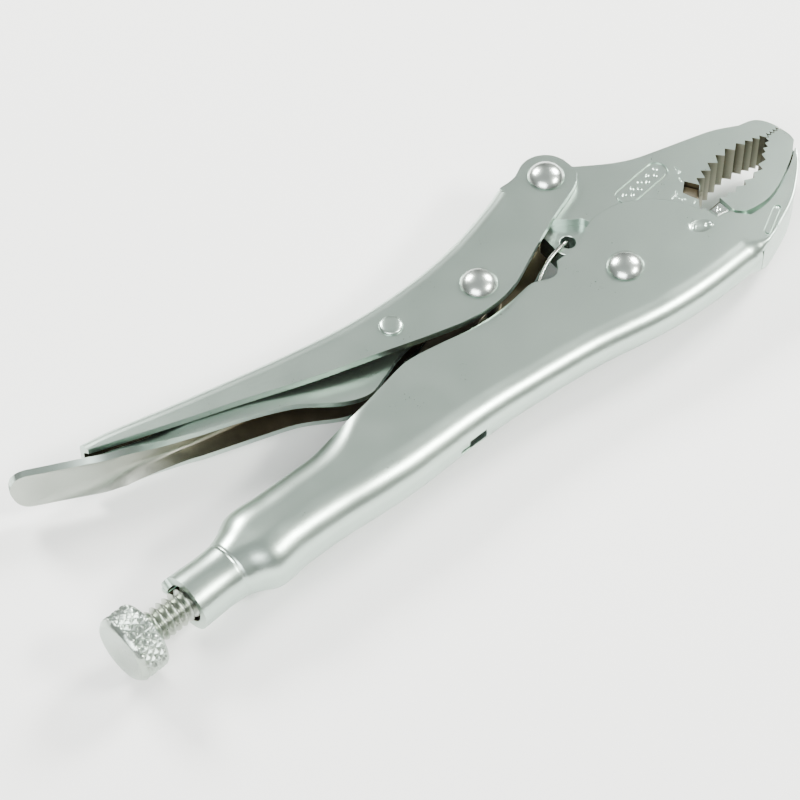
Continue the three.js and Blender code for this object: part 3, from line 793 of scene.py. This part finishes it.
# ---- movable jaw ----
movableJaw = {
    "tailHalf": 3.65,
    "back": [(68.2, 6.6), (67.4, 9.4), (65.8, 11.9), (63.6, 13.2), (60.4, 14.0)],
    "top": [(60.4, 14.0), (53.9, 17.7), (46, 20.4), (38.3, 22.8), (29, 26.0), (22.2, 30.0), (15.4, 35.2)],
    "heel": [(3.9, 18.7), (3.2, 20.3), (0.4, 22.4), (-2.4, 25.3), (-5.0, 29.0)],
    "earRadius": 7.0,
    "tail": [(28.4, 0.6), (20, 16), (4, 26), (-3.5, 30), (-7.6, 25)],
    "tailRound": (4.6, 12.5),           # radius round the spring's hole and round the pivot
    "springHoleRadius": 2.15,
    "pivotHoleRadius": 3.7,
    "handleHoleRadius": 3.4,
    "edge": 0.45,
    "tailEdge": 0.3,
    "scars": [      # x, y, length, turn
        (35.6, 14.3, 1.5, 80), (35.4, 13.4, 0.9, 20), (27.7, 8.2, 1.3, 15), (28.4, 7.5, 1.1, 100),
        (29.3, 8.6, 0.9, 60), (30.6, 2.9, 0.9, 30), (33.6, 11.2, 1.0, 70), (29.0, 5.6, 0.8, 140)],
    "scarSize": (0.42, 0.5),
    "badge": ((18.3, 17.2), (30.9, 18.0), 3.4, 0.8),    # ends, radius, line width
    "badgeDepth": 0.4,
    "badgeDents": [-0.02, 0.12, 0.24, 0.36, 0.5, 0.63, 0.76, 0.9, 1.03],
    "badgeDentSize": (0.85, 0.6, 0.35),
}


def inZone(x, y, zone):
    (lowX, highX), (lowY, highY), noseX, (noseLow, noseHigh) = zone
    return lowX < x < highX and lowY < y < highY and (x <= noseX or noseLow <= y <= noseHigh)


def atMouth(edge):              # along the teeth and the throat the edges stay crisp
    x, y, _ = ((edge.verts[0].co + edge.verts[1].co) / 2 - pivot) / mm
    inThroat = 17.6 < math.hypot(x, y) < 30.5 and -0.5 < y < 18.9 and x > 4.2
    return inThroat or inZone(x, y, mouth["crispZone"])


def toothWall(face):
    x, y, _ = (face.calc_center_median() - pivot) / mm
    return abs(face.normal.z) < 0.5 and inZone(x, y, mouth["wallZone"])


def fineWall(face):
    return toothWall(face) and (face.calc_center_median() - pivot).x > mouth["fineFrom"] * mm


def makeMovableJaw():
    j = movableJaw
    fine = [(x, y + mouth["gap"] + (mouth["fineDepth"] if i % 2 == 0 and 0 < i < mouth["fineUntil"] else 0))
            for i, (x, y) in enumerate(mouth["fine"])]
    outline = (fine[::-1] + mouth["upper"] + windLine(0.05) + smoothThrough(j["heel"], 16)
               + arc(handlePin, j["earRadius"], 190, 60, 24)
               + smoothThrough(j["top"], 36)[::-1] + smoothThrough(j["back"], 12)[::-1][1:])
    thick = plate("movable_jaw_body", outline, -jawHalf, jawHalf)
    softenEdges(thick, j["edge"], 3, atMouth)
    holeRound, pivotRound = j["tailRound"]
    tail = plate("tail", j["tail"] + arc(springHole, holeRound, 160, 215, 10)
                 + arc((0, 0), pivotRound, 150, 345, 40) + [(20, -2.2)], -j["tailHalf"], j["tailHalf"])
    hole(tail, springHole, j["springHoleRadius"])
    softenEdges(tail, j["tailEdge"])
    combine(thick, tail, "UNION")
    hole(thick, springHole, j["springHoleRadius"])
    hole(thick, (0, 0), j["pivotHoleRadius"])
    hole(thick, handlePin, j["handleHoleRadius"])
    combine(thick, plate("pocket", mouth["pocket"], -beyond, beyond))
    start, end = j["badge"][:2]
    combine(thick, ringGroove(*j["badge"], jawHalf - j["badgeDepth"], jawHalf + 1))
    marks = []
    for x, y, length, turn in j["scars"]:
        marks += [ellipsoid(x, y, side * (jawHalf + 0.12), (length, *j["scarSize"]), turn)
                  for side in (1, -1)]
    for i, t in enumerate(j["badgeDents"]):     # plain row of small dents inside the badge's line
        x, y = (a + (b - a) * t for a, b in zip(start, end))
        marks.append(ellipsoid(x, y + 0.8 * (-1) ** i, jawHalf + 0.1, j["badgeDentSize"], 35 * i))
    combine(thick, joined(marks), overlapping=True)
    finishPiece(thick, "movable_jaw", "jaw", (satinNickel, toothWallShade, paintedShadeSteel), 24)
    # painted shade on the tooth walls, and a darker painted shade on the fine teeth's walls for their dark
    # gap
    paintFaces(thick, 1, toothWall)
    paintFaces(thick, 2, fineWall)
    tips = mouth["upper"][1::2]     # worn bright
    markWearAndPaintedLight(thick, lambda x, y: float(any(math.hypot(x - a, y - b) < 0.3 for a, b in tips)))


makeMovableJaw()


cutters = {
    "shrink": 0.985,
    "movableHalf": 4.6,
    "movableEdge": 0.5,
    "fixedHalf": 5.75,
    "fixedEdge": 0.8,
    "dent": (33.8, -3.2, 6.0, (1.2, 0.8, 0.6), 30),     # x, y, z, sizes, turn
}


def makeMovableCutter():
    c = cutters
    cx, cy = (sum(p[k] for p in mouth["pocket"]) / len(mouth["pocket"]) for k in (0, 1))
    outline = [(cx + (x - cx) * c["shrink"], cy + (y - cy) * c["shrink"]) for x, y in mouth["pocket"]]
    obj = plate("movable_cutter_insert", outline, -c["movableHalf"], c["movableHalf"])
    softenEdges(obj, c["movableEdge"], 2)
    # painted shade: the cutter sits dark in its pocket
    finishPiece(obj, "movable_cutter", "jaw", (paintedShadeSteel,))


makeMovableCutter()

# ---- fixed jaw ----
fixedJaw = {
    "webHalf": 3.93,
    "nose": [(68.5, 3.0), (68.4, 1.2), (67.9, -0.4)],
    "shoulder": [(36.4, -6.6), (39.1, -9.2), (45, -10.2), (50.7, -9.3), (57, -6.9), (63, -3.9), (67.9, -0.4)],
    "webBack": [(33.25, -21.2), (33.25, -17.0), (32.7, -14.8), (20, -14.8)],
    "webTop": [(20.4, -3.6), (29.2, -2.2), (34.4, -4.6), (44, -5.0), (54, -2.0)],
    "pivotRound": 13.7,
    "edge": 0.5,
}


def makeFixedJaw():
    j = fixedJaw
    outline = (mouth["fine"][-1:] + smoothThrough(j["nose"], 6) + smoothThrough(j["shoulder"], 32)[::-1]
               + mouth["lower"] + mouth["fine"][:-1])
    thick = plate("fixed_jaw_insert", outline, -jawHalf, jawHalf)
    softenEdges(thick, j["edge"], 3, atMouth)
    front = [(x - 0.05, y + 0.05) for x, y in smoothThrough(frontEdge, 40)[10:]]
    web = plate("web", [(66.8, 1.0)] + front + j["webBack"] + arc((0, 0), j["pivotRound"], 295, 345, 12)
                + j["webTop"], -j["webHalf"], j["webHalf"])
    combine(thick, web, "UNION")
    combine(thick, plate("seat", [(x - 0.1, y - 0.1) for x, y in mouth["block"]], -beyond, beyond))
    finishPiece(thick, "fixed_jaw", "frame", (satinNickel, toothWallShade), 24)
    # painted shade on the tooth walls
    paintFaces(thick, 1, toothWall)


makeFixedJaw()


def makeFixedCutter():
    c = cutters
    obj = plate("fixed_cutter_insert", mouth["block"], -c["fixedHalf"], c["fixedHalf"])
    softenEdges(obj, c["fixedEdge"], 1)
    x, y, z, sizes, turn = c["dent"]
    combine(obj, joined([ellipsoid(x, y, side * z, sizes, turn) for side in (1, -1)]))
    finishPiece(obj, "fixed_cutter", "frame", (paintedLightNickel,))


makeFixedCutter()

# ---- toggle link ----
toggleLink = {"foot": (-96.0, screwAxisY), "half": 3.5, "bossRadius": 6.4, "footRadius": 4.5,
              "holeRadius": 3.5, "edge": 0.6}


def makeToggleLink():
    t = toggleLink
    lean = math.degrees(math.atan2(t["foot"][1] - linkPin[1], t["foot"][0] - linkPin[0]))
    bar = plate("toggle_link_bar", arc(linkPin, t["bossRadius"], lean - 128, lean - 232, 24)
                + arc(t["foot"], t["footRadius"], lean + 90, lean - 90, 24), -t["half"], t["half"])
    softenEdges(bar, t["edge"])
    combine(bar, disc(linkPin, t["bossRadius"] - 0.02, -jawHalf, jawHalf), "UNION")
    hole(bar, linkPin, t["holeRadius"])
    # painted shade: the link lies inside the handle's channel
    finishPiece(bar, "toggle_link", "link", (paintedShadeSteel,))


makeToggleLink()

# ---- adjusting screw, its tip and the knurled knob ----
screw = {"radius": 4.65, "depth": 1.3, "pitch": 2.0, "back": -170.4, "front": -110.0, "step": 0.2,
         "segments": 40, "ridge": 1.12, "fadeLength": 2.0, "fadeDepth": 0.5, "endRadii": (3.4, 3.6)}
screwTip = [(3.8, -109.7), (3.8, -104.7), (3.65, -104.1), (3.2, -103.75), (2.4, -103.7)]
knob = {
    "back": -178.6,
    "front": -169.7,
    "radius": 9.4,
    "face": [(0.35, 0.15), (0.3, 2.5), (0.18, 5.0), (0.06, 7.2), (0.02, 8.0), (0.12, 8.25), (0.4, 8.55),
             (1.0, 9.05)],      # distance from the back, radius
    "neckSide": [(0.35, 8.9), (0.08, 8.45), (0.0, 8.1), (0.0, 6.0), (0.0, 4.0), (0.0, 0.2)],
    "bandMargins": (1.5, 0.9),
    "bandStep": 0.14,
    "fadeLength": 0.5,
    "knurls": 22,
    "knurlPitch": 2.7,
    "knurlDepth": 0.75,
    "segments": 300,
}


def wave(value):                # 0 in the groove, 1 on the ridge
    return 1 - abs(2 * (value % 1.0) - 1)


def ringAt(x, radius, segments):
    return [place(x, screwAxisY + radius(a) * math.cos(a), radius(a) * math.sin(a))
            for a in (2 * math.pi * i / segments for i in range(segments))]


def makeScrew():
    t = screw

    def threadRadius(x):
        fade = min(1.0, max(0.0, (t["front"] - 0.3 - x) / t["fadeLength"]))
        fullRadius = t["radius"] - t["fadeDepth"] * (1 - fade)

        def at(a):
            ridge = min(1.0, t["ridge"] * wave(x / t["pitch"] + a / (2 * math.pi)))
            return fullRadius - t["depth"] * (1 - ridge)
        return at
    xs = evenly(t["back"], t["front"], t["step"]) + [t["front"]]
    rings = [ringAt(x, threadRadius(x), t["segments"]) for x in xs]
    backRadius, frontRadius = t["endRadii"]
    for size in (0.8, 0.4, 0.1):
        rings.append(ringAt(t["front"], lambda a: frontRadius * size, t["segments"]))
        rings.insert(0, ringAt(t["back"], lambda a: backRadius * size, t["segments"]))
    obj = wrappedPiece("adjusting_screw_thread", rings)
    finishPiece(obj, "adjusting_screw", "screw", (threadSteel,), 50)


def makeKnob():
    k = knob
    bandBack, bandFront = k["back"] + k["bandMargins"][0], k["front"] - k["bandMargins"][1]

    def knurled(x):
        fromEnd = min(x - bandBack, bandFront - x) / k["fadeLength"]
        strength = 0.35 + 0.65 * min(1.0, max(0.0, fromEnd))

        def at(a):
            u, v = a / (2 * math.pi) * k["knurls"], x / k["knurlPitch"]
            ridge = min(wave(u + v), wave(u - v))
            return k["radius"] - k["knurlDepth"] * (1 - min(1.0, ridge * 1.3)) * strength
        return at
    rings = [ringAt(k["back"] + x, lambda a: radius, k["segments"]) for x, radius in k["face"]]
    rings += [ringAt(x, knurled(x), k["segments"])
              for x in evenly(bandBack, bandFront, k["bandStep"]) + [bandFront]]
    rings += [ringAt(k["front"] - x, lambda a: radius, k["segments"]) for x, radius in k["neckSide"]]
    obj = wrappedPiece("knurled_knob_head", rings)
    finishPiece(obj, "knurled_knob", "screw", (knobNickel,), 28)


def makeScrewTip():
    obj = turned("screw_tip_plug", (0, screwAxisY, 0), screwTip, "x", 48)
    finishPiece(obj, "screw_tip", "screw_travel", (threadSteel,))


makeScrew()
makeKnob()
makeScrewTip()

# ---- rivets ----
rivets = {      # centre, half width of what it holds, shank radius, body
    "main_pivot_rivet": ((0, 0), jawHalf, 3.6, "frame"),
    "handle_rivet": (handlePin, handleHalf, 3.2, "handle"),
    "link_rivet": (linkPin, handleHalf, 3.2, "handle"),
}
dome = {"radius": 5.15, "height": 3.0, "rim": 0.35, "undercut": 0.5, "spread": 68, "steps": 16}
releaseRivet = {"shank": 2.0, "head": [(0.4, 0.95), (1.4, 0.94), (2.3, 0.88), (2.85, 0.74), (3.15, 0.5),
                                       (3.25, 0.25), (3.2, 0.0)]}      # radius, height over the handle


def makeRivet(name, centre, seat, shank, body):
    d = dome
    cap = []
    whole = math.radians(d["spread"])
    rise = d["height"] - d["rim"]
    for i in range(1, d["steps"] + 1):
        a = whole * i / d["steps"]
        fall = (math.cos(a) - math.cos(whole)) / (1 - math.cos(whole))
        cap.append((d["radius"] * math.sin(a) / math.sin(whole), seat + d["rim"] + rise * fall))
    cap += [(d["radius"] - 0.05, seat + d["rim"] - 0.12), (d["radius"] - d["undercut"], seat + 0.05),
            (d["radius"] - d["undercut"] - 0.05, seat)]
    profile = [(r, -z) for r, z in cap] + [(shank, -seat), (shank, seat)] + cap[::-1]
    obj = turned(name + "_head", (*centre, 0), profile)
    finishPiece(obj, name, body, (paintedLightNickel,), 32)


def makeReleaseRivet():
    head, shank = releaseRivet["head"], releaseRivet["shank"]
    profile = ([(r, -handleHalf - z) for r, z in head] + [(shank, -handleHalf), (shank, handleHalf)]
               + [(r, handleHalf + z) for r, z in head[::-1]])
    obj = turned("release_rivet_head", (*releasePin, 0), profile)
    finishPiece(obj, "release_rivet", "handle", (satinNickel,), 32)


for name, (centre, seat, shank, body) in rivets.items():
    makeRivet(name, centre, seat, shank, body)
makeReleaseRivet()

# ---- jaw spring: a coil inside the handle with a long loop through the hole in the jaw's tail ----
spring = {
    "wire": 0.55,
    "anchor": (-66.0, -7.0),
    "loop": [       # run along the spring from its hole, sideways, across the tool
        (14.5, 1.5, -2.4), (9.5, 1.1, -3.6), (5.5, 0.6, -4.3), (1.6, 0.3, -4.4), (0.1, 0.1, -3.2),
        (0.0, 0.0, 0.0), (0.1, -0.2, 3.2), (1.6, -0.5, 4.45), (5.5, -1.5, 4.5), (10.0, -2.3, 3.7),
        (14.0, -2.3, 2.6), (17.0, -1.6, 2.0)],
    "coilRadius": 2.3,
    "coilStart": 19.0,
    "coilEnd": 60.0,
    "turns": 34,
    "perTurn": 18,
    "rearHook": [(62.0, -1.2, 0.8), (64.5, 0.0, 0.0), (66.4, 1.0, 0.0)],
    "stretchFrom": 26.0,
    "stretchTo": 6.0,
}


def wireAlong(name, points, radius):
    data = bpy.data.curves.new(name, "CURVE")
    data.dimensions = "3D"
    data.bevel_depth = radius * mm
    data.bevel_resolution = 4
    data.use_fill_caps = True
    line = data.splines.new("POLY")
    line.points.add(len(points) - 1)
    for point, at in zip(line.points, points):
        point.co = (*place(*at), 1)
    obj = bpy.data.objects.new(name, data)
    bpy.context.scene.collection.objects.link(obj)
    activate(obj)
    bpy.ops.object.convert(target="MESH")
    return bpy.context.active_object


def makeSpring():
    s = spring
    (hx, hy), (ax, ay) = springHole, s["anchor"]
    length = math.hypot(ax - hx, ay - hy)
    ux, uy = (ax - hx) / length, (ay - hy) / length

    def at(run, side, z):
        return (hx + ux * run - uy * side, hy + uy * run + ux * side, z)
    points = smoothThrough([at(*p) for p in s["loop"]], 90)
    steps = s["turns"] * s["perTurn"]
    for i in range(steps + 1):
        a = 2 * math.pi * i / s["perTurn"]
        run = s["coilStart"] + (s["coilEnd"] - s["coilStart"]) * i / steps
        points.append(at(run, -s["coilRadius"] * math.cos(a), s["coilRadius"] * math.sin(a)))
    points += smoothThrough([at(*p) for p in s["rearHook"]], 8)
    obj = wireAlong("jaw_spring_wire", points, s["wire"])
    while obj.data.materials:
        obj.data.materials.pop()
    obj.data.materials.append(springSteel)
    bpy.ops.object.shade_smooth_by_angle(angle=math.radians(50))
    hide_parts("jaw_spring")
    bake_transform(obj)
    print("made", obj.name)


makeSpring()

# ---- room ----
camera = {"lens": 135, "sensor": 36, "target": (-73.0, 12.4, 0), "back": (-0.413, -0.438, 0.799),
          "distance": 0.8}
room = {
    "floorSize": 6,
    "floorDrop": 0.0002,
    "floorColor": (0.92, 0.92, 0.92, 1),
    "low": (0.13, 0.13, 0.12, 1),
    "middle": (0.34, 0.355, 0.345, 1),
    "high": (0.50, 0.53, 0.515, 1),
    "strength": 0.95,
    "lightTarget": (-50, 5, 0),
}
lights = {      # direction, distance, size, power, colour
    "rightLight": ((0.816, 0.057, 0.575), 1.3, (0.42, 0.36), 34, (1, 1, 0.95)),
    "leftLight": ((0.01, 0.819, 0.575), 1.3, (0.42, 0.36), 34, (1, 1, 0.95)),
    "frontLight": ((0.42, -0.62, 0.66), 1.5, (0.5, 0.2), 30, (1, 1, 0.92)),
    "fillLight": ((-0.72, -0.35, 0.60), 1.8, (1.2, 0.9), 45, (1, 1, 1)),
}

cameraData = bpy.data.cameras.new("camera")
cameraData.lens = camera["lens"]
cameraData.sensor_width = camera["sensor"]
cameraData.clip_start = 0.01
cameraObject = bpy.data.objects.new("camera", cameraData)
bpy.context.scene.collection.objects.link(cameraObject)
back = Vector(camera["back"]).normalized()
cameraObject.location = place(*camera["target"]) + back * camera["distance"]
cameraObject.rotation_euler = back.to_track_quat("Z", "Y").to_euler()
bpy.context.scene.camera = cameraObject

clearSelection()
bpy.ops.mesh.primitive_plane_add(size=room["floorSize"], location=(0, 0, cadBox[0][2] - room["floorDrop"]))
floor = bpy.context.active_object
floor.name = "floor"
floorPaint = bpy.data.materials.new("floorPaint")
floorPaint.use_nodes = True
floorShader = floorPaint.node_tree.nodes["Principled BSDF"]
floorShader.inputs["Base Color"].default_value = room["floorColor"]
floorShader.inputs["Roughness"].default_value = 0.9
floor.data.materials.append(floorPaint)

world = bpy.data.worlds.new("studio")
world.use_nodes = True
nodes, links = world.node_tree.nodes, world.node_tree.links
direction = nodes.new("ShaderNodeTexCoord")
parts = nodes.new("ShaderNodeSeparateXYZ")
ramp = nodes.new("ShaderNodeValToRGB")
ramp.color_ramp.elements[0].position = 0.05
ramp.color_ramp.elements[0].color = room["low"]
ramp.color_ramp.elements[1].position = 0.95
ramp.color_ramp.elements[1].color = room["high"]
ramp.color_ramp.elements.new(0.5).color = room["middle"]
links.new(direction.outputs["Generated"], parts.inputs[0])
links.new(parts.outputs["Z"], ramp.inputs["Fac"])
links.new(ramp.outputs["Color"], nodes["Background"].inputs["Color"])
nodes["Background"].inputs["Strength"].default_value = room["strength"]
bpy.context.scene.world = world


def softLight(name, direction, distance, size, power, color):
    data = bpy.data.lights.new(name, "AREA")
    data.shape = "RECTANGLE"
    data.size, data.size_y = size
    data.energy = power
    data.color = color
    obj = bpy.data.objects.new(name, data)
    bpy.context.scene.collection.objects.link(obj)
    towards = Vector(direction).normalized()
    obj.location = place(*room["lightTarget"]) + towards * distance
    obj.rotation_euler = towards.to_track_quat("Z", "Y").to_euler()


for name, settings in lights.items():
    softLight(name, *settings)
print("room ready")
